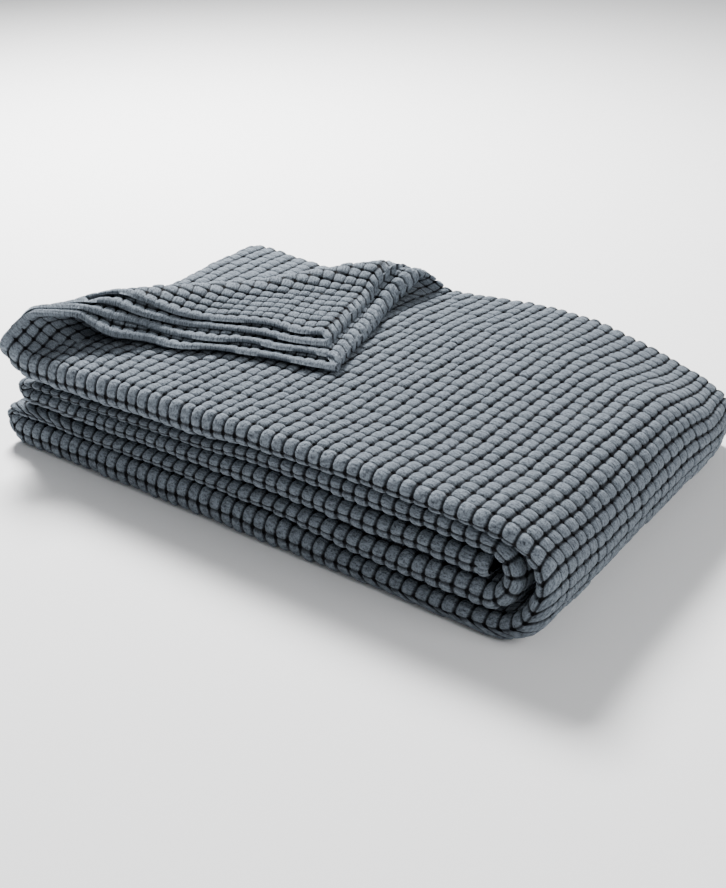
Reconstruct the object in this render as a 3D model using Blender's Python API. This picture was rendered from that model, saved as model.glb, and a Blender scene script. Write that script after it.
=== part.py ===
"""A woven bedspread, folded to a neat pile with one corner turned back. Metres, +Z up.

The cloth was folded lengthwise to a strip of four layers: both long hems to the middle, then in half.
The front of the strip is one big round fold, the back is two folds, one above the other.
The strip then lies in five passes, from its top hem along the pile, round the right end, along the
floor and so inwards. The back left corner of the top pass is turned over on to the pile.
"""
import math

import bmesh
import bpy
from mathutils import Vector

# The cloth and its layers
CLOTH_THICK = 0.0040
LAYER_PITCH = 0.00525
PASS_PITCH = 4 * LAYER_PITCH
HALF_STRIP = 1.5 * LAYER_PITCH + CLOTH_THICK / 2

# The strip, front to back. The back folds' and the front fold's outermost points are these
STRIP_FRONT = -0.2010
STRIP_BACK = 0.1980
HEM_INSET = 0.0190
ACROSS = (-0.170, -0.110, 0.000, 0.100, 0.150)
BACK_FOLD_STEPS = 3
FRONT_FOLD_STEPS = 5

# The strip's way, seen from the front. X is measured to the right, and lines across all passes share it
TOP_HEM_X = -0.2825
INNER_END_X = 0.2360
OUTER_TURN_X = 0.2470
INNER_TURN_X = 0.2420
UPPER_NOSE_X = -0.2580
LOWER_NOSE_X = -0.2720
CROSS_LINES = (-0.190, -0.110, -0.030, 0.050, 0.130, 0.190, 0.2360, 0.2420)
WRAP_STEPS = 8
NOSE_STEPS = 5

# The turned-back corner: the line it is folded on, the roll that the fold keeps, how far the layers
# slip on one another past it, and the lines of points there: steps round the roll, distances behind it
TURN_ANGLE = math.radians(55.5)
TURN_POINT = (-0.3052, -0.2016)
ROLL_OVERTURN = math.radians(20)
ROLL_FOOT_RADIUS = 0.0790
FLAP_CLEAR = 0.0042
FLAP_THIN = 0.94
LAYER_SLIP = 2.0
SLIP_REACH = 0.080
ROLL_STEPS = 8
TAIL_CUTS = (0.0110, 0.0250, 0.0420, 0.0620)
ON_CUT = 0.0004
HALVINGS = 24

# The roll's radius. Columns: length along the fold from the front, radius
ROLL_RADII = (
    (0.000, 0.0335),
    (0.120, 0.0204),
    (0.260, 0.0150),
    (0.420, 0.0195),
)

# How far the strip's end reaches past TOP_HEM_X, and where that pull ends. Columns: y, reach
HEM_LINE = (
    (-0.200, 0.004),
    (-0.150, 0.015),
    (-0.100, -0.003),
    (0.000, -0.007),
    (0.100, -0.009),
    (0.198, 0.002),
)
HEM_PULL_END = 0.1800

# How much narrower the top pass is than the strip. Columns: length from its end, loss at the back
NARROWING = (
    (0.000, 0.063),
    (0.120, 0.053),
    (0.240, 0.026),
    (0.380, 0.000),
)

# The levels between the passes along the front, as they lie. Columns: x, then the top of the bottom
# pass, of the fourth, of the third, of the second, and of the top pass
FRONT_LEVELS = (
    (-0.300, 0.029, 0.043, 0.060, 0.069, 0.097),
    (-0.200, 0.030, 0.043, 0.061, 0.070, 0.101),
    (-0.060, 0.032, 0.046, 0.063, 0.075, 0.105),
    (0.030, 0.031, 0.047, 0.068, 0.085, 0.107),
    (0.133, 0.022, 0.044, 0.066, 0.088, 0.108),
    (0.190, 0.020, 0.045, 0.067, 0.088, 0.106),
    (0.300, 0.020, 0.043, 0.063, 0.083, 0.100),
)
LEVELS_FROM_Y = -0.1100
LEVELS_FULL_Y = -0.1850

# How far the front fold of each pass lies behind the foremost. Columns: height before settling, inset
FRONT_INSETS = (
    (0.000, 0.000),
    (0.010, 0.000),
    (0.031, 0.002),
    (0.052, 0.006),
    (0.073, 0.007),
    (0.094, 0.000),
    (0.130, 0.000),
)

# How far the back folds lie before the straight line. Columns: x, inset
BACK_INSETS = (
    (-0.290, 0.000),
    (-0.130, 0.009),
    (0.030, 0.000),
    (0.160, 0.006),
    (0.280, 0.000),
)

# The pile's crown and its dropped edges, as shares of the height
CROWN = 0.014
BACK_DROP = 0.060
RIGHT_DROP = 0.058
CORNER_DROP = 0.270

# How far the pile's sides drift: the back right corner in, the front right out, the back left out
CORNER_PULL = 0.0150
FRONT_PUSH = 0.0030
LEFT_SKEW = 0.0400

# Where all of these begin and are full, in x or y. Columns: start, end
FRONT_ZONE = (-0.120, -0.195)
BACK_ZONE = (0.070, 0.198)
RIGHT_ZONE = (0.120, 0.290)
LEFT_ZONE = (-0.120, -0.290)
CROWN_FROM_FRONT = (STRIP_FRONT, 0.000)
CROWN_FROM_BACK = (STRIP_BACK, 0.020)
CROWN_FROM_LEFT = (-0.300, -0.050)
CROWN_FROM_RIGHT = (0.290, 0.100)
DROP_FROM_LEFT = (-0.330, -0.080)
CORNER_DROP_DEPTH = (0.040, STRIP_BACK)
PUSH_DEPTH = (0.050, STRIP_FRONT)
PULL_ALONG = (0.200, 0.292)
PULL_DEPTH = (0.060, STRIP_BACK)
SKEW_DEPTH = (-0.200, 0.180)

COLOUR = (0.222, 0.262, 0.300, 1.0)


def smooth(start, end, value):
    """0 at start, 1 at end, with an even rise between them."""
    share = min(max((value - start) / (end - start), 0.0), 1.0)
    return share * share * (3 - 2 * share)


def between(table, value, column):
    """A column of a table at a value of its first column, with even rises from row to row."""
    if value <= table[0][0]:
        return table[0][column]
    for low, high in zip(table, table[1:]):
        if value <= high[0]:
            share = smooth(low[0], high[0], value)
            return low[column] + share * (high[column] - low[column])
    return table[-1][column]


def straight(table, value):
    """The second column of a two-column table, read straight from row to row."""
    if value <= table[0][0]:
        return table[0][1] + (value - table[0][0])
    for low, high in zip(table, table[1:]):
        if value <= high[0]:
            return low[1] + (value - low[0]) / (high[0] - low[0]) * (high[1] - low[1])
    return table[-1][1] + (value - table[-1][0])


def arc(centre, radius, start, end, steps):
    """Points and outward directions along a round fold, its two ends included."""
    points = []
    for step in range(steps + 1):
        angle = start + (end - start) * step / steps
        outward = (math.cos(angle), math.sin(angle))
        points.append(((centre[0] + radius * outward[0], centre[1] + radius * outward[1]), outward))
    return points


def strip_section():
    """The middle line of the folded cloth across the strip: (y, height) and the direction to its outside."""
    outer = 1.5 * LAYER_PITCH
    inner = 0.5 * LAYER_PITCH
    fold = 0.5 * LAYER_PITCH
    front_y = STRIP_FRONT + HALF_STRIP
    back_y = STRIP_BACK - fold - CLOTH_THICK / 2
    hem_y = STRIP_FRONT + HEM_INSET
    down, up = (0.0, -1.0), (0.0, 1.0)
    half_turn = math.pi / 2
    line = [((hem_y, inner), down)]
    line += [((y, inner), down) for y in ACROSS]
    line += arc((back_y, 2 * fold), fold, -half_turn, half_turn, BACK_FOLD_STEPS)
    line += [((y, outer), up) for y in reversed(ACROSS)]
    line += arc((front_y, 0.0), outer, half_turn, 3 * half_turn, FRONT_FOLD_STEPS)
    line += [((y, -outer), down) for y in ACROSS]
    line += arc((back_y, -2 * fold), fold, -half_turn, half_turn, BACK_FOLD_STEPS)
    line += [((y, -inner), up) for y in reversed(ACROSS)]
    line += [((hem_y, -inner), up)]
    return line


def way_of_strip():
    """The strip's runs and turns in order: (kind, start, direction of travel, length, radius, side)."""
    floor_z = HALF_STRIP
    top_z = floor_z + 4 * PASS_PITCH
    second_z = floor_z + 3 * PASS_PITCH
    third_z = floor_z + 2 * PASS_PITCH
    fourth_z = floor_z + PASS_PITCH
    wide, middle, tight = 2 * PASS_PITCH, PASS_PITCH, PASS_PITCH / 2
    return (
        ("run", (TOP_HEM_X, top_z), 1, OUTER_TURN_X - TOP_HEM_X, 0.0, 0),
        ("turn", (OUTER_TURN_X, top_z), 1, math.pi * wide, wide, -1),
        ("run", (OUTER_TURN_X, floor_z), -1, OUTER_TURN_X - LOWER_NOSE_X, 0.0, 0),
        ("turn", (LOWER_NOSE_X, floor_z), -1, math.pi * tight, tight, -1),
        ("run", (LOWER_NOSE_X, fourth_z), 1, INNER_TURN_X - LOWER_NOSE_X, 0.0, 0),
        ("turn", (INNER_TURN_X, fourth_z), 1, math.pi * middle, middle, 1),
        ("run", (INNER_TURN_X, second_z), -1, INNER_TURN_X - UPPER_NOSE_X, 0.0, 0),
        ("turn", (UPPER_NOSE_X, second_z), -1, math.pi * tight, tight, 1),
        ("run", (UPPER_NOSE_X, third_z), 1, INNER_END_X - UPPER_NOSE_X, 0.0, 0),
    )


FOLD_ALONG = Vector((math.cos(TURN_ANGLE), math.sin(TURN_ANGLE)))
FOLD_AWAY = Vector((-FOLD_ALONG.y, FOLD_ALONG.x))
WAY = way_of_strip()
TURN_STEPS = (WRAP_STEPS, NOSE_STEPS, WRAP_STEPS, NOSE_STEPS)


def stations():
    """Lengths along the strip at which it has a line of points."""
    marks = [0.0]
    travelled = 0.0
    turns = iter(TURN_STEPS)
    for kind, start, heading, length, _, _ in WAY:
        if kind == "run":
            ahead = sorted(heading * (x - start[0]) for x in CROSS_LINES)
            marks += [travelled + gone for gone in ahead if 0 < gone < length]
        else:
            steps = next(turns)
            marks += [travelled + length * step / steps for step in range(steps)]
        travelled += length
    marks.append(travelled)
    return marks


def on_way(length_along, offset):
    """X and Z of a point of the strip, an offset to the left of its travel."""
    left = length_along
    for kind, start, heading, length, radius, side in WAY:
        if left <= length or kind == WAY[-1][0] and start == WAY[-1][1]:
            break
        left -= length
    if kind == "run":
        return start[0] + heading * left, start[1] + heading * offset
    angle = left / radius
    reach = radius - side * offset
    x = start[0] + heading * reach * math.sin(angle)
    z = start[1] + side * heading * (radius - reach * math.cos(angle))
    return x, z


def roll(gone, radius):
    """The turned corner seen along its fold: place and heading after a length of it."""
    full = math.pi + ROLL_OVERTURN
    sine, cosine = math.sin(ROLL_OVERTURN), math.cos(ROLL_OVERTURN)
    rest = (1 + FLAP_THIN) * HALF_STRIP + FLAP_CLEAR
    foot = ROLL_FOOT_RADIUS
    slope = (radius * (1 + cosine) - foot * (1 - cosine) - rest) / sine
    slope = max(slope, 0.0)
    if gone <= radius * full:
        angle = gone / radius
        return radius * math.sin(angle), radius * (1 - math.cos(angle)), angle
    gone -= radius * full
    across, height = -radius * sine, radius * (1 + cosine)
    if gone <= slope:
        return across - gone * cosine, height - gone * sine, full
    gone -= slope
    across, height = across - slope * cosine, height - slope * sine
    if gone <= foot * ROLL_OVERTURN:
        angle = ROLL_OVERTURN - gone / foot
        across -= foot * (sine - math.sin(angle))
        height -= foot * (math.cos(angle) - cosine)
        return across, height, math.pi + angle
    gone -= foot * ROLL_OVERTURN
    return across - foot * sine - gone, height - foot * (1 - cosine), math.pi


def layer_middle(offset):
    """The offset of the middle of the layer that a point belongs to, with short ramps between layers."""
    level = offset / LAYER_PITCH + 1.5
    whole = math.floor(level)
    return (whole + smooth(0.40, 0.60, level - whole) - 1.5) * LAYER_PITCH


def from_fold(x, y):
    """A flat point seen from the roll: length along the fold, length past the roll's start, radius."""
    flat = Vector((x, y)) - Vector(TURN_POINT)
    length = flat.dot(FOLD_ALONG)
    radius = between(ROLL_RADII, length, 1)
    return length, flat.dot(FOLD_AWAY) + radius * math.pi / 2, radius


def turn_corner(x, y, offset):
    """Fold the back left corner of the flat top pass over, and give its place above the pass."""
    length, gone, radius = from_fold(x, y)
    if gone <= 0:
        return x, y, offset
    flat_from = radius * (math.pi + ROLL_OVERTURN)
    gone += LAYER_SLIP * layer_middle(offset) * smooth(0.0, SLIP_REACH, gone - flat_from)
    across, height, angle = roll(gone, radius)
    offset *= 1 + (FLAP_THIN - 1) * smooth(0.0, math.pi, angle)
    across -= offset * math.sin(angle)
    height += offset * math.cos(angle)
    folded = Vector(TURN_POINT) + FOLD_ALONG * length + FOLD_AWAY * (across - radius * math.pi / 2)
    return folded.x, folded.y, height


def front_level(x, z):
    """The height that a level of the even pile has at the front, as it really lies."""
    even = [0.0] + [HALF_STRIP + (step + 0.5) * PASS_PITCH for step in range(4)]
    even.append(2 * HALF_STRIP + 4 * PASS_PITCH)
    real = [0.0] + [between(FRONT_LEVELS, x, column) for column in range(1, 6)]
    return straight(tuple(zip(even, real)), z)


def settle(x, y, z):
    """Press and shift the even pile into the uneven one that lies there. The floor stays flat."""
    front = smooth(LEVELS_FROM_Y, LEVELS_FULL_Y, y)
    settled = z + front * (front_level(x, z) - z)
    right = smooth(*RIGHT_ZONE, x)
    back = smooth(*BACK_ZONE, y)
    crown = smooth(*CROWN_FROM_FRONT, y) * smooth(*CROWN_FROM_BACK, y)
    crown *= smooth(*CROWN_FROM_LEFT, x) * smooth(*CROWN_FROM_RIGHT, x)
    share = 1 + CROWN * crown
    share -= BACK_DROP * back * smooth(*DROP_FROM_LEFT, x)
    share -= RIGHT_DROP * right * (1 - front)
    share -= CORNER_DROP * right * smooth(*CORNER_DROP_DEPTH, y)
    settled *= share
    y += between(FRONT_INSETS, z, 1) * smooth(*FRONT_ZONE, y)
    y -= between(BACK_INSETS, x, 1) * back
    drift = FRONT_PUSH * right * smooth(*PUSH_DEPTH, y)
    drift -= CORNER_PULL * smooth(*PULL_ALONG, x) * smooth(*PULL_DEPTH, y) ** 2
    drift -= LEFT_SKEW * smooth(*LEFT_ZONE, x) * smooth(*SKEW_DEPTH, y)
    return x + drift, y, settled


def trim(length_along, y):
    """The flat strip's uneven end, which is pulled past its line and narrower at the back."""
    length_along -= between(HEM_LINE, y, 1) * max(1 - length_along / HEM_PULL_END, 0.0)
    if length_along < WAY[0][3]:
        from_front = (y - ACROSS[0]) / (STRIP_BACK - ACROSS[0])
        y -= between(NARROWING, length_along, 1) * max(from_front, 0.0)
    return length_along, y


def place(length_along, y, offset):
    """Where a point of the trimmed strip lies in the pile."""
    if length_along < WAY[0][3]:
        x, y, height = turn_corner(TOP_HEM_X + length_along, y, offset)
        z = WAY[0][1][1] + height
    else:
        x, z = on_way(length_along, offset)
    return settle(x, y, z)


def flat_strip():
    """The folded strip pulled out straight: X is the length along it, Z the height of its layers."""
    shell = bmesh.new()
    section = strip_section()
    half = CLOTH_THICK / 2
    outline = [(p[0] + half * n[0], p[1] + half * n[1]) for p, n in section]
    outline += [(p[0] - half * n[0], p[1] - half * n[1]) for p, n in reversed(section)]
    rings = [[shell.verts.new((s, y, z)) for y, z in outline] for s in stations()]
    count = len(outline)
    for near, far in zip(rings, rings[1:]):
        for at in range(count):
            after = (at + 1) % count
            shell.faces.new((near[at], near[after], far[after], far[at]))
    for ring, turned in ((rings[0], True), (rings[-1], False)):
        for at in range(count // 2 - 1):
            corners = [ring[at], ring[at + 1], ring[count - 2 - at], ring[count - 1 - at]]
            shell.faces.new(corners[::-1] if turned else corners)
    bmesh.ops.recalc_face_normals(shell, faces=shell.faces)
    return shell


def past_line(point, angle, tail):
    """How far a flat point lies past the line that comes to an angle of the roll, and a tail beyond it."""
    _, gone, radius = from_fold(TOP_HEM_X + point.x, point.y)
    return gone - radius * angle - tail


def crossing(low, high, line):
    """The share of the way between two flat points at which it crosses a line."""
    start, end = 0.0, 1.0
    rising = past_line(high, *line) > 0
    for _ in range(HALVINGS):
        middle = (start + end) / 2
        if (past_line(low.lerp(high, middle), *line) > 0) == rising:
            end = middle
        else:
            start = middle
    return (start + end) / 2


def cut_at(shell, line):
    """Split the flat strip's faces along one line."""
    past = {vert: past_line(vert.co, *line) for vert in shell.verts}
    on_line = {vert for vert, distance in past.items() if abs(distance) < ON_CUT}
    for edge in list(shell.edges):
        low, high = edge.verts
        if low in on_line or high in on_line or past[low] * past[high] > 0:
            continue
        share = crossing(low.co, high.co, line)
        on_line.add(bmesh.utils.edge_split(edge, low, share)[1])
    for face in list(shell.faces):
        ends = [vert for vert in face.verts if vert in on_line]
        if len(ends) == 2 and not any(edge.other_vert(ends[0]) is ends[1] for edge in ends[0].link_edges):
            bmesh.utils.face_split(face, *ends)


def cut_for_roll(shell):
    """Add lines along the corner's fold, so that the roll comes out round."""
    full = math.pi + ROLL_OVERTURN
    for step in range(ROLL_STEPS + 1):
        cut_at(shell, (full * step / ROLL_STEPS, 0.0))
    for tail in TAIL_CUTS:
        cut_at(shell, (full, tail))


def centre_on_floor(shell):
    """Set the origin under the middle of the pile."""
    across = [vert.co.x for vert in shell.verts]
    deep = [vert.co.y for vert in shell.verts]
    middle = Vector(((min(across) + max(across)) / 2, (min(deep) + max(deep)) / 2, 0.0))
    for vert in shell.verts:
        vert.co -= middle


def cloth_material():
    material = bpy.data.materials.new("slate cotton")
    material.use_nodes = True
    shader = material.node_tree.nodes["Principled BSDF"]
    shader.inputs["Base Color"].default_value = COLOUR
    shader.inputs["Roughness"].default_value = 0.92
    shader.inputs["Metallic"].default_value = 0.0
    return material


def bedspread():
    shell = flat_strip()
    for vert in shell.verts:
        vert.co.x, vert.co.y = trim(vert.co.x, vert.co.y)
    cut_for_roll(shell)
    for vert in shell.verts:
        vert.co = Vector(place(*vert.co))
    centre_on_floor(shell)
    bmesh.ops.triangulate(shell, faces=shell.faces, quad_method="SHORT_EDGE")
    mesh = bpy.data.meshes.new("bedspread")
    shell.to_mesh(mesh)
    shell.free()
    mesh.shade_smooth()
    mesh.set_sharp_from_angle(angle=math.radians(50))
    mesh.materials.append(cloth_material())
    piece = bpy.data.objects.new("bedspread", mesh)
    bpy.context.collection.objects.link(piece)
    return piece


def main():
    for thing in list(bpy.data.objects):
        bpy.data.objects.remove(thing, do_unlink=True)
    bedspread()


main()
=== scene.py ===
import math

import bpy
import numpy as np
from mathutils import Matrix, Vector
from mathutils.bvhtree import BVHTree


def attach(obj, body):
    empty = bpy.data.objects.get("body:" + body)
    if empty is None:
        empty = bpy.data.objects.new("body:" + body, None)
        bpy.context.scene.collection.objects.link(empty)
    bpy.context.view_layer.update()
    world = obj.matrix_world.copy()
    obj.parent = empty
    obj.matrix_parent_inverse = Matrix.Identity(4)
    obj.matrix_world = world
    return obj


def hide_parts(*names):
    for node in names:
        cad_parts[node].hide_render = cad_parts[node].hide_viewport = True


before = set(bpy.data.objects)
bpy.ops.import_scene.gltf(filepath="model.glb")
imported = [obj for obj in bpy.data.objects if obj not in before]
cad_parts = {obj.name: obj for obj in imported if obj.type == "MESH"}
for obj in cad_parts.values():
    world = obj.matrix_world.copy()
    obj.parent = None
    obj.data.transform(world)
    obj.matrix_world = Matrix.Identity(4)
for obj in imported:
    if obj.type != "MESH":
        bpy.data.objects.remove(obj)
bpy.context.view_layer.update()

for thing in bpy.context.selected_objects:
    thing.select_set(False)

# the strip of four layers that the cloth is folded to, the same sizes as the solid's; metres
cloth = {
    "layers": 4,
    "passes": 5,
    "thick": 0.0040,
    "layerPitch": 0.00525,
    "stripFront": -0.2010,
    "stripBack": 0.1980,
    "hemInset": 0.0190,
}
layerPitch = cloth["layerPitch"]
passes = cloth["passes"]
halfStrip = (cloth["layers"] - 1) / 2 * layerPitch + cloth["thick"] / 2
passPitch = cloth["layers"] * layerPitch

# the five passes of the strip, seen from the front
way = {
    "topHemX": -0.2825,
    "innerEndX": 0.2425,
    "outerTurnX": 0.2470,
    "innerTurnX": 0.2420,
    "upperNoseX": -0.2580,
    "lowerNoseX": -0.2720,
    # turns with the same rib pitch in every layer, and the run in which that is made up for
    "evenOut": ((1, 0.160), (3, 0.090), (7, 0.090)),
}


def smooth(start, end, value):
    share = np.clip((value - start) / (end - start), 0.0, 1.0)
    return share * share * (3 - 2 * share)


def rowValue(table, value, column):
    # a column of a table, read smoothly at a value of its first column
    keys = np.array([row[0] for row in table])
    values = np.array([row[column] for row in table])
    at = np.clip(np.searchsorted(keys, value) - 1, 0, len(keys) - 2)
    share = np.clip((value - keys[at]) / (keys[at + 1] - keys[at]), 0.0, 1.0)
    share = share * share * (3 - 2 * share)
    return values[at] + share * (values[at + 1] - values[at])


def stripWay():
    # start x, start z, direction, length, radius, side it turns to
    z = [halfStrip + step * passPitch for step in range(passes)]
    wide, middle, tight = 2 * passPitch, passPitch, passPitch / 2
    outer, inner = way["outerTurnX"], way["innerTurnX"]
    low, up = way["lowerNoseX"], way["upperNoseX"]
    return (
        (way["topHemX"], z[4], 1, outer - way["topHemX"], 0.0, 0),
        (outer, z[4], 1, math.pi * wide, wide, -1),
        (outer, z[0], -1, outer - low, 0.0, 0),
        (low, z[0], -1, math.pi * tight, tight, -1),
        (low, z[1], 1, inner - low, 0.0, 0),
        (inner, z[1], 1, math.pi * middle, middle, 1),
        (inner, z[3], -1, inner - up, 0.0, 0),
        (up, z[3], -1, math.pi * tight, tight, 1),
        (up, z[2], 1, way["innerEndX"] - up, 0.0, 0),
    )


legs = stripWay()


def runTo(number):
    # the length of the strip's first legs
    return sum(leg[3] for leg in legs[:number])


topLength = runTo(1)
floorEnd = runTo(3)
clothLength = runTo(len(legs))


def onWay(along, offset):
    x = np.zeros_like(along)
    z = np.zeros_like(along)
    for number, (startX, startZ, heading, length, radius, side) in enumerate(legs):
        left = along - runTo(number)
        here = left >= 0 if number else np.ones(along.shape, bool)
        if radius == 0.0:
            legX = startX + heading * left
            legZ = startZ + heading * offset
        else:
            reach = radius - side * offset
            legX = startX + heading * reach * np.sin(left / radius)
            legZ = startZ + side * heading * (radius - reach * np.cos(left / radius))
        x = np.where(here, legX, x)
        z = np.where(here, legZ, z)
    return x, z


# the corner that is turned back over the pile
corner = {
    "angle": math.radians(55.5),
    "point": (-0.3052, -0.2016),
    # length along the fold, the roll's radius there
    "radii": ((0.000, 0.0335), (0.120, 0.0204), (0.260, 0.0150), (0.420, 0.0195)),
    "overturn": math.radians(20),
    "footRadius": 0.0790,
    "clear": 0.0042,
    # how much thinner the flap is, and how far its layers slip on one another
    "thin": 0.94,
    "slip": 2.67,
    # y, how far the strip's end reaches past its line
    "hemLine": ((-0.200, 0.004), (-0.150, 0.015), (-0.100, -0.003), (0.000, -0.007),
                (0.100, -0.009), (0.198, 0.002)),
    "hemReach": 0.1800,
    # length from the strip's end, how much its back is drawn in
    "narrowing": ((0.000, 0.063), (0.120, 0.053), (0.240, 0.026), (0.380, 0.000)),
    "narrowFromY": -0.1700,
}


def rollOver(gone, radius):
    # the turned corner seen along its fold: place across, height, heading
    over, foot = corner["overturn"], corner["footRadius"]
    sine, cosine = math.sin(over), math.cos(over)
    full = math.pi + over
    rest = (1 + corner["thin"]) * halfStrip + corner["clear"]
    slope = np.maximum((radius * (1 + cosine) - foot * (1 - cosine) - rest) / sine, 0.0)
    # round the roll
    angle = np.clip(gone / radius, 0.0, full)
    across = radius * np.sin(angle)
    height = radius * (1 - np.cos(angle))
    # down the slope
    left = gone - radius * full
    run = np.clip(left, 0.0, slope)
    across = across - run * cosine
    height = height - run * sine
    # and level with the pile
    left = left - slope
    bend = np.clip(left / foot, 0.0, over)
    across = across - foot * (sine - np.sin(over - bend))
    height = height - foot * (np.cos(over - bend) - cosine)
    across = across - np.maximum(left - foot * over, 0.0)
    return across, height, angle - bend


def turnCorner(x, y, offset, layer):
    along = (math.cos(corner["angle"]), math.sin(corner["angle"]))
    away = (-along[1], along[0])
    cornerX, cornerY = corner["point"]
    flatX, flatY = x - cornerX, y - cornerY
    length = flatX * along[0] + flatY * along[1]
    radius = rowValue(corner["radii"], length, 1)
    start = -radius * math.pi / 2
    gone = flatX * away[0] + flatY * away[1] - start
    flatFrom = radius * (math.pi + corner["overturn"])
    slid = gone + corner["slip"] * layer * np.clip(gone / flatFrom, 0.0, 1.0)
    across, height, angle = rollOver(slid, radius)
    thinned = offset * (1 + (corner["thin"] - 1) * smooth(0.0, math.pi, angle))
    across = across - thinned * np.sin(angle)
    height = height + thinned * np.cos(angle)
    turned = gone > 0
    x = np.where(turned, cornerX + along[0] * length + away[0] * (start + across), x)
    y = np.where(turned, cornerY + along[1] * length + away[1] * (start + across), y)
    return x, y, np.where(turned, height, offset)


# how the pile has settled
pile = {
    # x, then the tops of the five passes along the front, from below
    "levels": (
        (-0.300, 0.029, 0.043, 0.060, 0.069, 0.097),
        (-0.200, 0.030, 0.043, 0.061, 0.070, 0.101),
        (-0.060, 0.032, 0.046, 0.063, 0.075, 0.105),
        (0.030, 0.031, 0.047, 0.068, 0.085, 0.107),
        (0.133, 0.022, 0.044, 0.066, 0.088, 0.108),
        (0.190, 0.020, 0.045, 0.067, 0.088, 0.106),
        (0.300, 0.020, 0.043, 0.063, 0.083, 0.100),
    ),
    # height before settling, and how far the front fold lies back there
    "insets": ((0.000, 0.000), (0.010, 0.000), (0.031, 0.002), (0.052, 0.006),
               (0.073, 0.007), (0.094, 0.000), (0.130, 0.000)),
    # x, and how far the back folds lie before a straight line
    "backInsets": ((-0.290, 0.000), (-0.130, 0.009), (0.030, 0.000),
                   (0.160, 0.006), (0.280, 0.000)),
    # the dark gaps between the passes along the front, as a share of their height
    "gap": 0.20,
    "crown": 0.014,
    "backDrop": 0.060,
    "rightDrop": 0.058,
    "cornerDrop": 0.270,
    "cornerPull": 0.0150,
    "frontPush": 0.0030,
    "leftSkew": 0.0400,
    "middle": (-0.014769, -0.004424),
}

# where each of these starts, and where it is full
zones = {
    "levelsY": (-0.1100, -0.1850),
    "gapY": (-0.150, -0.192),
    "insetY": (-0.120, -0.195),
    "rightX": (0.120, 0.290),
    "backY": (0.070, 0.198),
    "crownFrontY": (-0.200, 0.0),
    "crownBackY": (0.198, 0.020),
    "crownLeftX": (-0.300, -0.05),
    "crownRightX": (0.29, 0.1),
    "backDropX": (-0.330, -0.080),
    "cornerDropY": (0.040, 0.198),
    "cornerPullX": (0.200, 0.292),
    "cornerPullY": (0.060, 0.198),
    "frontPushY": (0.050, -0.200),
    "leftSkewX": (-0.120, -0.290),
    "leftSkewY": (-0.200, 0.180),
}


def within(zone, value):
    return smooth(*zones[zone], value)


def frontLevel(x, z):
    even = [0.0] + [halfStrip + (step + 0.5) * passPitch for step in range(passes - 1)]
    even.append(2 * halfStrip + (passes - 1) * passPitch)
    real = [np.zeros_like(x)]
    real += [rowValue(pile["levels"], x, column) for column in range(1, passes + 1)]
    level = z
    for low in range(passes):
        share = (z - even[low]) / (even[low + 1] - even[low])
        inside = real[low] + share * (real[low + 1] - real[low])
        level = np.where(z > even[low], inside, level)
    return np.where(z > even[-1], real[-1] + z - even[-1], level)


def settle(x, y, z):
    front = within("levelsY", y)
    settled = z + front * (frontLevel(x, z) - z)
    right = within("rightX", x)
    back = within("backY", y)
    crown = within("crownFrontY", y) * within("crownBackY", y)
    crown = crown * within("crownLeftX", x) * within("crownRightX", x)
    share = 1 + pile["crown"] * crown - pile["backDrop"] * back * within("backDropX", x)
    share = share - pile["rightDrop"] * right * (1 - front)
    share = share - pile["cornerDrop"] * right * within("cornerDropY", y)
    shiftedY = y + rowValue(pile["insets"], z, 1) * within("insetY", y)
    shiftedY = shiftedY - rowValue(pile["backInsets"], x, 1) * back
    x = x - pile["cornerPull"] * within("cornerPullX", x) * within("cornerPullY", shiftedY) ** 2
    x = x + pile["frontPush"] * right * within("frontPushY", shiftedY)
    x = x - pile["leftSkew"] * within("leftSkewX", x) * within("leftSkewY", shiftedY)
    return x - pile["middle"][0], shiftedY - pile["middle"][1], settled * share


def evenOut(along, layer):
    # the outer layers take more cloth round a turn, and give it back along the run after it
    strip = along
    for number, reach in way["evenOut"]:
        radius, side = legs[number][4:]
        outside = np.maximum(-side * layer, 0.0)
        turnCloth = math.pi * (radius + outside)
        gone = along - runTo(number)
        inTurn = np.clip(gone, 0.0, turnCloth)
        givenBack = smooth(0.0, reach, gone - turnCloth)
        strip = strip - inTurn * outside / (radius + outside) + math.pi * outside * givenBack
    return strip


def place(along, y, offset, layer):
    # where a point of the folded strip lies in the pile; layer is its layer's middle height
    squeeze = pile["gap"] * within("gapY", y)
    inside = (offset < 0) | (along > floorEnd)
    offset = offset * np.where(inside, 1 - squeeze, 1.0)
    along = evenOut(along, layer)
    reach = rowValue(corner["hemLine"], y, 1)
    along = along - reach * np.maximum(1 - along / corner["hemReach"], 0.0)
    onTop = along < topLength
    span = cloth["stripBack"] - corner["narrowFromY"]
    narrowing = rowValue(corner["narrowing"], along, 1)
    topY = y - narrowing * np.maximum((y - corner["narrowFromY"]) / span, 0.0)
    topX, topY, height = turnCorner(way["topHemX"] + along, topY, offset, layer)
    x, z = onWay(along, offset)
    x = np.where(onTop, topX, x)
    z = np.where(onTop, legs[0][1] + height, z)
    return np.stack(settle(x, np.where(onTop, topY, y), z), axis=-1)


# across the cloth, hem to hem, through the four layers
frontY = cloth["stripFront"] + halfStrip
backY = cloth["stripBack"] - layerPitch / 2 - cloth["thick"] / 2
hemY = cloth["stripFront"] + cloth["hemInset"]
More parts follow.
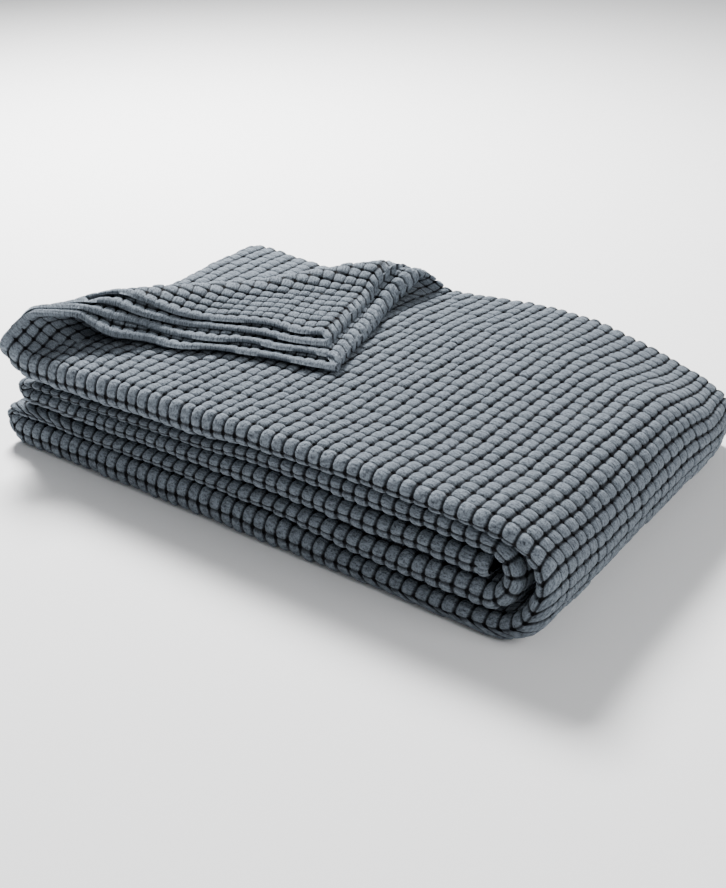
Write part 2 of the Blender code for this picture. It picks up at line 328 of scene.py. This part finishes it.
# radius of the turn, start y, height, direction, length
acrossLegs = (
    (0.0, hemY, 0.5 * layerPitch, 1, backY - hemY),
    (layerPitch / 2, backY, layerPitch, -1, math.pi * layerPitch / 2),
    (0.0, backY, 1.5 * layerPitch, -1, backY - frontY),
    (1.5 * layerPitch, frontY, 0.0, 1, math.pi * 1.5 * layerPitch),
    (0.0, frontY, -1.5 * layerPitch, 1, backY - frontY),
    (layerPitch / 2, backY, -layerPitch, -1, math.pi * layerPitch / 2),
    (0.0, backY, -0.5 * layerPitch, -1, backY - hemY),
)
clothWidth = sum(leg[4] for leg in acrossLegs)


def acrossCloth(gone):
    # the middle line's y and height in the strip, and the direction to the outside of the fold
    y, height = np.zeros_like(gone), np.zeros_like(gone)
    outY, outZ = np.zeros_like(gone), np.zeros_like(gone)
    done = 0.0
    for number, (radius, startY, level, heading, length) in enumerate(acrossLegs):
        left = gone - done
        here = left >= 0 if number else np.ones(gone.shape, bool)
        if radius == 0.0:
            values = (startY + heading * left, level + 0 * left, 0 * left, -heading + 0 * left)
        else:
            angle = heading * math.pi / 2 + left / radius
            values = (startY + radius * np.cos(angle), level + radius * np.sin(angle),
                      np.cos(angle), np.sin(angle))
        y, height, outY, outZ = (np.where(here, new, old)
                                 for new, old in zip(values, (y, height, outY, outZ)))
        done += length
    return y, height, outY, outZ


# the puffs: ribs run across the pile, grooves between the puffs of one rib are shallow
weave = {
    "ribPitch": 0.0125,
    "puffPitch": 0.0132,
    # where a puff's mesh lines lie, as shares of it
    "steps": (0.0, 0.09, 0.29, 0.5, 0.71, 0.91),
    # half the cloth's thickness in the pits, on hidden crowns and on those that show
    "pit": 0.0002,
    "peak": 0.0024,
    "openPeak": 0.0038,
    # how deep the groove between two puffs of a rib is, and how much the rib narrows there
    "saddle": 0.58,
    "waist": 0.22,
    # powers of a puff's profile: the higher, the flatter its top and the steeper its sides
    "ribPower": 4,
    "puffPower": 5,
    "waistPower": 4,
    "shoulder": 0.6,
    "uneven": 0.22,
    "seed": 7,
    # slow drift of the rows: size, and waves by length along, length across, phase, share
    "wobble": 0.0005,
    "driftAlong": ((0.093, 0.171, 1.3, 1.0), (0.041, -0.067, 0.4, 0.6)),
    "driftAcross": ((-0.143, 0.083, 2.1, 1.0), (0.059, 0.037, 5.2, 0.6)),
    "driftReach": 0.02,
    # the hem is a thin roll with a seam beside it
    "hemWide": 0.0090,
    "hemSoft": 0.75,
    "hemHalf": 0.0033,
    "hemRise": (0.85, 0.3),
    "hemWave": 0.0024,
    "hemWaveReach": 0.0900,
    "hemWaveLengths": (0.117, 0.290),
    "hemWaveShift": 1.7,
    "seamDeep": 0.0012,
    "seamWide": 0.0012,
    # puffs that nothing sees are joined in blocks
    "hiddenBlock": 3,
}

ribs = round(clothLength / weave["ribPitch"])
puffs = round(clothWidth / weave["puffPitch"])
ribPitch = clothLength / ribs
puffPitch = clothWidth / puffs
fineSteps = len(weave["steps"])
puffNoise = np.random.default_rng(weave["seed"]).uniform(-1.0, 1.0, (ribs, puffs))
print("cloth", round(clothWidth, 3), "x", round(clothLength, 3), "m")
print(ribs, "ribs of", puffs, "puffs")


def drift(waves, along, across):
    # rows waver, as on cloth that has been washed and folded
    a, c = along * 2 * math.pi, across * 2 * math.pi
    return weave["wobble"] * sum(
        share * np.sin(a / lengthAlong + c / lengthAcross + phase)
        for lengthAlong, lengthAcross, phase, share in waves)


def puffHeight(ribShare, puffShare):
    # 0 in the pits at a puff's corners, 1 on its crown
    puff = np.abs(2 * puffShare - 1)
    rib = np.abs(2 * ribShare - 1) * (1 + weave["waist"] * puff ** weave["waistPower"])
    across = (1 - puff ** weave["puffPower"]) ** weave["shoulder"]
    along = (1 - np.minimum(rib, 1.0) ** weave["ribPower"]) ** weave["shoulder"]
    return along * (1 - weave["saddle"] * (1 - across))


def latticeLines(count, spacing):
    # every line of the fine lattice in one direction: place, rib or puff number, share of it
    number = np.append(np.repeat(np.arange(count), fineSteps), count)
    share = np.append(np.tile(np.array(weave["steps"]), count), 0.0)
    return (number + share) * spacing, number, share


alongLines, ribNumber, ribShare = latticeLines(ribs, ribPitch)
acrossLines, puffNumber, puffShare = latticeLines(puffs, puffPitch)


def hemmed(half, rise, edge):
    # half the thickness, with the hem's roll and seam at the edges
    wide, bead = weave["hemWide"], weave["hemHalf"]
    least, more = weave["hemRise"]
    plain = smooth(wide, wide * weave["hemSoft"], edge)
    half = half + plain * (bead * (least + more * rise) - half)
    half = half - weave["seamDeep"] * np.exp(-((edge - wide) / weave["seamWide"]) ** 2)
    roundOff = np.sqrt(np.clip(1 - (1 - edge / bead) ** 2, 0.0, 1.0))
    return half * np.where(edge < bead, roundOff, 1.0)


def surface(i, j, side, shown):
    # points of one face of the cloth at lattice lines i along and j across
    along, across = alongLines[i], acrossLines[j]
    edge = np.minimum(np.minimum(along, clothLength - along),
                      np.minimum(across, clothWidth - across))
    hold = smooth(0.0, weave["driftReach"], edge)
    driftAlong = drift(weave["driftAlong"], along, across)
    driftAcross = drift(weave["driftAcross"], along, across)
    y, height, outY, outZ = acrossCloth(across + driftAcross * hold)
    noise = puffNoise[np.minimum(ribNumber[i], ribs - 1), np.minimum(puffNumber[j], puffs - 1)]
    rise = puffHeight(ribShare[i], puffShare[j]) * (1 + weave["uneven"] * noise)
    top = weave["peak"] + shown * (weave["openPeak"] - weave["peak"])
    half = hemmed(weave["pit"] + (top - weave["pit"]) * rise, rise, edge) * side
    turns = across * 2 * math.pi
    short, long = weave["hemWaveLengths"]
    wave = weave["hemWave"] * np.sin(turns / short + weave["hemWaveShift"] * np.sin(turns / long))
    along = along + driftAlong * hold + wave * np.maximum(1 - along / weave["hemWaveReach"], 0.0)
    points = place(along, y + half * outY, height + half * outZ, height)
    # the underside's puffs are pressed flat on the floor
    points[..., 2] = np.maximum(points[..., 2], 0.0)
    return points


# how the puffs that show are found: rays from each one, through cloth without puffs
sight = {
    "halfThick": 0.0020,
    "rays": 40,
    "lowest": -0.2,
    "grazing": 0.08,
    "startAbove": 0.0005,
    "farthest": 1.0,
}


def rayDirections():
    # spread evenly over a ball, without the steep ones from below
    golden = math.pi * (3 - math.sqrt(5))
    rays = []
    for step in range(sight["rays"]):
        z = 1 - 2 * (step + 0.5) / sight["rays"]
        if z > sight["lowest"]:
            reach = math.sqrt(1 - z * z)
            rays.append((reach * math.cos(golden * step), reach * math.sin(golden * step), z))
    return np.array(rays)


def plainFaces():
    # both faces of the cloth without puffs, with a point at every puff's corner
    i, j = np.meshgrid(np.arange(ribs + 1) * fineSteps, np.arange(puffs + 1) * fineSteps,
                       indexing="ij")
    y, height, outY, outZ = acrossCloth(acrossLines[j])
    faces = {}
    for side in (1, -1):
        half = sight["halfThick"] * side
        faces[side] = place(alongLines[i], y + half * outY, height + half * outZ, height)
    return faces


def quadsOf(number):
    # the cells of a grid of point numbers
    quads = (number[:-1, :-1], number[1:, :-1], number[1:, 1:], number[:-1, 1:])
    return np.stack(quads, axis=-1).reshape(-1, 4)


def cellSum(points):
    return points[:-1, :-1] + points[1:, :-1] + points[1:, 1:] + points[:-1, 1:]


def treeOf(faces):
    count = (ribs + 1) * (puffs + 1)
    quads = quadsOf(np.arange(count).reshape(ribs + 1, puffs + 1))
    points = np.concatenate([faces[1].reshape(-1, 3), faces[-1].reshape(-1, 3)])
    return BVHTree.FromPolygons(points.tolist(), np.concatenate([quads, quads + count]).tolist())


def withNeighbours(shows):
    wider = shows.copy()
    wider[1:] |= shows[:-1]
    wider[:-1] |= shows[1:]
    wider[:, 1:] |= shows[:, :-1]
    wider[:, :-1] |= shows[:, 1:]
    return wider


def findShowing():
    # which puffs can be seen from outside, for both faces of the cloth
    faces = plainFaces()
    tree = treeOf(faces)
    rays = rayDirections()
    inner = cellSum(faces[1] + faces[-1]) / 8
    showing = {}
    for side in (1, -1):
        points = faces[side]
        centre = cellSum(points) / 4
        normal = np.cross(points[1:, 1:] - points[:-1, :-1], points[:-1, 1:] - points[1:, :-1])
        normal /= np.linalg.norm(normal, axis=-1, keepdims=True) + 1e-12
        facing = np.sign(np.sum(normal * (centre - inner), axis=-1, keepdims=True))
        normal *= np.where(facing == 0, 1, facing)
        start = centre + normal * sight["startAbove"]
        shows = np.zeros((ribs, puffs), bool)
        for rib in range(ribs):
            for puff in range(puffs):
                origin = Vector(start[rib, puff])
                for ray in rays[rays @ normal[rib, puff] > sight["grazing"]]:
                    if tree.ray_cast(origin, Vector(ray), sight["farthest"])[0] is None:
                        shows[rib, puff] = True
                        break
        showing[side] = withNeighbours(shows)
    return showing


showing = findShowing()
print("puffs that show:", int(showing[1].sum()), "outside,", int(showing[-1].sum()), "inside")


def hiddenBlocks(shows, firstRib, lastRib):
    # blocks of hidden puffs as first rib, end rib, first puff, end puff; beside fine ones, single
    size = weave["hiddenBlock"]
    blocks = []
    for rib in range(firstRib, lastRib, size):
        ribEnd = min(rib + size, lastRib)
        for puff in range(0, puffs, size):
            puffEnd = min(puff + size, puffs)
            if not shows[rib:ribEnd, puff:puffEnd].any():
                blocks.append((rib, ribEnd, puff, puffEnd))
            else:
                blocks += [(r, r + 1, p, p + 1) for r in range(rib, ribEnd)
                           for p in range(puff, puffEnd) if not shows[r, p]]
    return blocks


def pointsInUse(shows, blocks, firstRib, lastRib):
    # the lattice points that a length of cloth needs on one face
    k = fineSteps
    used = np.zeros((ribs * k + 1, puffs * k + 1), bool)
    for rib, puff in np.argwhere(shows):
        if firstRib <= rib < lastRib:
            used[rib * k:(rib + 1) * k + 1, puff * k:(puff + 1) * k + 1] = True
    for rib, ribEnd, puff, puffEnd in blocks:
        for i in (rib * k, ribEnd * k):
            for j in (puff * k, puffEnd * k):
                used[i, j] = True
    # the rims of both faces need the same points at each puff corner
    used[firstRib * k:lastRib * k + 1:k, 0] = True
    used[firstRib * k:lastRib * k + 1:k, -1] = True
    used[firstRib * k, ::k] = True
    used[lastRib * k, ::k] = True
    return used


def showShare(shows, i, j):
    # 1 where all the puffs that meet in a point show
    padded = np.zeros((ribs + 2, puffs + 2))
    padded[1:-1, 1:-1] = shows
    rib, puff = ribNumber[i] + 1, puffNumber[j] + 1
    share = padded[rib, puff]
    share = np.where(ribShare[i] == 0, np.minimum(share, padded[rib - 1, puff]), share)
    return np.where(puffShare[j] == 0, np.minimum(share, padded[rib, puff - 1]), share)


def ringOf(number, i0, i1, j0, j1):
    # the points in use round a block, in order
    ring = [(i, j0) for i in range(i0, i1)] + [(i1, j) for j in range(j0, j1)]
    ring += [(i, j1) for i in range(i1, i0, -1)] + [(i0, j) for j in range(j1, j0, -1)]
    return [number[point] for point in ring if number[point] >= 0]


def clothFace(side, firstRib, lastRib, before):
    # one face of a length of cloth: points, their places in the weave, polygons, point numbers
    k = fineSteps
    shows = showing[side]
    blocks = hiddenBlocks(shows, firstRib, lastRib)
    used = pointsInUse(shows, blocks, firstRib, lastRib)
    i, j = np.nonzero(used)
    number = -np.ones(used.shape, int)
    number[i, j] = np.arange(len(i)) + before
    polygons = []
    for rib, puff in np.argwhere(shows):
        if firstRib <= rib < lastRib:
            patch = number[rib * k:(rib + 1) * k + 1, puff * k:(puff + 1) * k + 1]
            polygons += quadsOf(patch).tolist()
    for rib, ribEnd, puff, puffEnd in blocks:
        polygons.append(ringOf(number, rib * k, ribEnd * k, puff * k, puffEnd * k))
    if side == 1:
        polygons = [polygon[::-1] for polygon in polygons]
    points = surface(i, j, side, showShare(shows, i, j))
    weavePlaces = np.stack([alongLines[i] / ribPitch, acrossLines[j] / puffPitch], axis=-1)
    return points, weavePlaces, polygons, number


def rimFaces(outside, inside, cells, flip):
    # faces that join the two faces of the cloth along one puff's side
    front = [outside[cell] for cell in cells if outside[cell] >= 0]
    back = [inside[cell] for cell in cells if inside[cell] >= 0]
    if len(front) == len(back):
        faces = [[front[n], front[n + 1], back[n + 1], back[n]] for n in range(len(front) - 1)]
    else:
        faces = [front + back[::-1]]
    return [face[::-1] for face in faces] if flip else faces


def rimOf(outside, inside, firstRib, lastRib):
    k = fineSteps
    low, high, last = firstRib * k, lastRib * k, puffs * k
    faces = []
    for start in range(low, high, k):
        stretch = range(start, start + k + 1)
        faces += rimFaces(outside, inside, [(i, 0) for i in stretch], True)
        faces += rimFaces(outside, inside, [(i, last) for i in stretch], False)
    for start in range(0, last, k):
        stretch = range(start, start + k + 1)
        faces += rimFaces(outside, inside, [(low, j) for j in stretch], False)
        faces += rimFaces(outside, inside, [(high, j) for j in stretch], True)
    return faces


def clothPiece(name, firstRib, lastRib):
    # a length of the cloth between two ribs, both faces, closed all round
    points, places, polygons, outside = clothFace(1, firstRib, lastRib, 0)
    under, underPlaces, underPolygons, inside = clothFace(-1, firstRib, lastRib, len(points))
    points = np.concatenate([points, under])
    uv = np.concatenate([places, underPlaces])
    polygons = polygons + underPolygons + rimOf(outside, inside, firstRib, lastRib)
    mesh = bpy.data.meshes.new(name)
    mesh.from_pydata(points.tolist(), [], polygons)
    layer = mesh.uv_layers.new(name="cloth")
    loops = np.zeros(len(mesh.loops), int)
    mesh.loops.foreach_get("vertex_index", loops)
    layer.data.foreach_set("uv", uv[loops].astype(np.float32).ravel())
    mesh.polygons.foreach_set("use_smooth", np.ones(len(polygons), bool))
    mesh.update()
    piece = bpy.data.objects.new(name, mesh)
    bpy.context.scene.collection.objects.link(piece)
    print(name, "has", sum(len(polygon) - 2 for polygon in polygons), "triangles")
    return piece


# shader maths: a socket with operators

class Value:
    def __init__(self, tree, socket):
        self.tree, self.socket = tree, socket

    def math(self, operation, other=None, flip=False):
        node = self.tree.nodes.new("ShaderNodeMath")
        node.operation = operation
        for number, end in enumerate([other, self] if flip else [self, other]):
            if isinstance(end, Value):
                self.tree.links.new(end.socket, node.inputs[number])
            elif end is not None:
                node.inputs[number].default_value = end
        return Value(self.tree, node.outputs[0])

    def __add__(self, other):
        return self.math("ADD", other)

    def __radd__(self, other):
        return self.math("ADD", other)

    def __sub__(self, other):
        return self.math("SUBTRACT", other)

    def __rsub__(self, other):
        return self.math("SUBTRACT", other, flip=True)

    def __mul__(self, other):
        return self.math("MULTIPLY", other)

    def __rmul__(self, other):
        return self.math("MULTIPLY", other)

    def __truediv__(self, other):
        return self.math("DIVIDE", other)

    def __pow__(self, other):
        return self.math("POWER", other)

    def clamped(self):
        return self.math("MAXIMUM", 0.0).math("MINIMUM", 1.0)


def socketOf(sockets, name):
    # a socket by its identifier, or else by its name
    named = [socket for socket in sockets if socket.identifier == name]
    return named[0] if named else sockets[name]


class Shader:
    # a material's node tree, with one method that adds any node
    def __init__(self, name):
        self.material = bpy.data.materials.new(name)
        self.material.use_nodes = True
        self.tree = self.material.node_tree
        self.principled = self.tree.nodes["Principled BSDF"]

    def put(self, socket, value):
        if isinstance(value, Value):
            self.tree.links.new(value.socket, socket)
        else:
            socket.default_value = value

    def node(self, kind, settings=None, inputs=None):
        made = self.tree.nodes.new(kind)
        for key, value in (settings or {}).items():
            setattr(made, key, value)
        for key, value in (inputs or {}).items():
            self.put(socketOf(made.inputs, key), value)
        return made

    def out(self, made, name):
        return Value(self.tree, socketOf(made.outputs, name))

    def feed(self, name, value):
        self.put(self.principled.inputs[name], value)


cotton = {
    "light": (0.215, 0.250, 0.290, 1.0),
    "dark": (0.048, 0.058, 0.072, 1.0),
    # nearly black, painted into the grooves as shade
    "pit": (0.001, 0.001, 0.002, 1.0),
    # shares of half a rib and half a puff: where the painted groove shade starts, and where it is
    # darkest
    "ribGroove": (0.68, 0.90),
    "puffGroove": (0.78, 0.95),
    # how much shade is painted into the grooves, and how much more beside a puff's corners
    "grooveShadeStrength": 0.80,
    "cornerShadeStrength": 0.3,
    "cornerPower": 2.0,
    # the hem gets no painted groove shade: its width in ribs or puffs, and how quickly the shade
    # starts
    "hemShare": 0.62,
    "hemFade": 8.0,
    "crinkleScale": 2.4,
    "crinkleStretch": 3.0,
    "crinkleDetail": 4.0,
    "crinkleRoughness": 0.62,
    "threadScale": 11.0,
    "threadDetail": 2.0,
    # share of the light colour, and how much crinkles and threads change it
    "tone": 0.68,
    "crinkleTone": 2.8,
    "threadTone": 1.8,
    "bumpStrength": 1.0,
    "bumpDistance": 0.0030,
    "threadBump": 0.3,
    "roughness": 0.92,
    "specular": 0.1,
    "sheen": 0.04,
    "sheenRoughness": 0.55,
}


def paintedGrooveShade(ribAt, puffAt):
    # painted shade, 1 in the grooves: deep between ribs and most at a puff's corners
    puff = (puffAt.math("FRACT") * 2 - 1).math("ABSOLUTE")
    rib = (ribAt.math("FRACT") * 2 - 1).math("ABSOLUTE")
    rib = rib * (1 + puff ** weave["waistPower"] * weave["waist"])
    ribSide, puffSide = (
        ((at - start) / (full - start)).clamped()
        for at, (start, full) in ((rib, cotton["ribGroove"]), (puff, cotton["puffGroove"])))
    cornerShade = cotton["cornerShadeStrength"] * puff ** cotton["cornerPower"]
    shadeShare = ribSide * (cotton["grooveShadeStrength"] + cornerShade) + puffSide * cotton["grooveShadeStrength"]
    # no painted shade on the hem: rib and puff numbers run from 0 to their counts
    nearEnd = ribAt.math("MINIMUM", ribs - ribAt)
    nearSide = puffAt.math("MINIMUM", puffs - puffAt)
    pastHem = nearEnd.math("MINIMUM", nearSide) - cotton["hemShare"]
    return shadeShare.math("MINIMUM", 1.0) * (pastHem * cotton["hemFade"]).clamped()


def noise(shader, vector, scale, detail, roughness=0.5):
    made = shader.node("ShaderNodeTexNoise", inputs={
        "Vector": vector, "Scale": scale, "Detail": detail, "Roughness": roughness})
    return shader.out(made, "Fac")


def mixed(shader, share, first, second):
    made = shader.node("ShaderNodeMix", {"data_type": "RGBA"}, {
        "Factor_Float": share, "A_Color": first, "B_Color": second})
    return shader.out(made, "Result_Color")


def cottonMaterial():
    shader = Shader("slateCotton")
    # the map counts ribs along the cloth and puffs across it
    coords = shader.out(shader.node("ShaderNodeUVMap", {"uv_map": "cloth"}), "UV")
    split = shader.node("ShaderNodeSeparateXYZ", inputs={"Vector": coords})
    ribAt, puffAt = shader.out(split, "X"), shader.out(split, "Y")
    # crinkles run across each rib: long along the cloth, short across it
    stretched = shader.node("ShaderNodeCombineXYZ", inputs={
        "X": ribAt * cotton["crinkleScale"],
        "Y": puffAt * (cotton["crinkleScale"] * cotton["crinkleStretch"])})
    crinkle = noise(shader, shader.out(stretched, "Vector"), 1.0,
                    cotton["crinkleDetail"], cotton["crinkleRoughness"])
    thread = noise(shader, coords, cotton["threadScale"], cotton["threadDetail"])
    share = (crinkle - 0.5) * cotton["crinkleTone"] + (thread - 0.5) * cotton["threadTone"]
    tone = mixed(shader, share + cotton["tone"], cotton["dark"], cotton["light"])
    # the base colour goes nearly black in the grooves: painted shade
    shader.feed("Base Color", mixed(shader, paintedGrooveShade(ribAt, puffAt), tone, cotton["pit"]))
    bump = shader.node("ShaderNodeBump", inputs={
        "Strength": cotton["bumpStrength"], "Distance": cotton["bumpDistance"],
        "Height": crinkle + thread * cotton["threadBump"]})
    shader.feed("Normal", shader.out(bump, "Normal"))
    shader.feed("Roughness", cotton["roughness"])
    shader.feed("Specular IOR Level", cotton["specular"])
    shader.feed("Sheen Weight", cotton["sheen"])
    shader.feed("Sheen Roughness", cotton["sheenRoughness"])
    return shader.material


# where the cloth is cut: at a share of the top pass, and some ribs past the turns
cutAt = {
    "topShare": 0.62,
    "pastWrap": 2,
    "pastNose": 1,
}
slateCotton = cottonMaterial()
topEnd = round(topLength * cutAt["topShare"] / ribPitch)
wrapEnd = round(runTo(2) / ribPitch) + cutAt["pastWrap"]
noseEnd = round(runTo(5) / ribPitch) + cutAt["pastNose"]
cuts = (("turnedCorner", 0, topEnd), ("topAndWrap", topEnd, wrapEnd),
        ("lowerPasses", wrapEnd, noseEnd), ("innerPasses", noseEnd, ribs))
for pieceName, first, last in cuts:
    piece = clothPiece(pieceName, first, last)
    piece.data.materials.append(slateCotton)
    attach(piece, "root")
    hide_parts("bedspread")
    (last - first) * ribPitch
print("bedspread laid out in", len(cuts), "pieces")


studio = {
    "floorSize": 12.0,
    "floorColour": (0.93, 0.93, 0.93, 1.0),
    "floorRoughness": 0.9,
    "world": (0.95, 0.97, 1.0, 1.0),
    "worldStrength": 0.31,
    # place, size, strength in watts
    "lights": (
        ((-1.2, 0.8, 1.5), 0.6, 172.0),
        ((1.8, -0.1, 1.2), 1.0, 24.0),
    ),
}


def studioSet():
    bpy.ops.mesh.primitive_plane_add(size=studio["floorSize"], location=(0.0, 0.0, 0.0))
    floor = bpy.context.object
    floor.name = "floor"
    paper = Shader("palePaper")
    paper.feed("Base Color", studio["floorColour"])
    paper.feed("Roughness", studio["floorRoughness"])
    floor.data.materials.append(paper.material)
    world = bpy.data.worlds.new("studio")
    world.use_nodes = True
    background = world.node_tree.nodes["Background"]
    background.inputs["Color"].default_value = studio["world"]
    background.inputs["Strength"].default_value = studio["worldStrength"]
    bpy.context.scene.world = world
    for number, (spot, size, power) in enumerate(studio["lights"]):
        lamp = bpy.data.lights.new("softbox%d" % number, "AREA")
        lamp.size = size
        lamp.energy = power
        holder = bpy.data.objects.new(lamp.name, lamp)
        holder.location = spot
        holder.rotation_euler = (-Vector(spot)).to_track_quat("-Z", "Y").to_euler()
        bpy.context.scene.collection.objects.link(holder)


# the camera at the photo's angle; the focal length is in pixels of its frame
shot = {
    "place": (0.65761, -0.89793, 0.60070),
    "azimuth": 35.88,
    "elevation": 28.51,
    "focalPixels": 1300.0,
    "frameHeight": 888.0,
    "sensorWidth": 36.0,
}


def cameraAtPhoto():
    data = bpy.data.cameras.new("camera")
    data.sensor_width = shot["sensorWidth"]
    data.lens = shot["focalPixels"] * shot["sensorWidth"] / shot["frameHeight"]
    camera = bpy.data.objects.new("camera", data)
    camera.location = shot["place"]
    camera.rotation_euler = (math.radians(90 - shot["elevation"]), 0.0,
                             math.radians(shot["azimuth"]))
    bpy.context.scene.collection.objects.link(camera)
    bpy.context.scene.camera = camera


studioSet()
cameraAtPhoto()
print("studio and camera set")
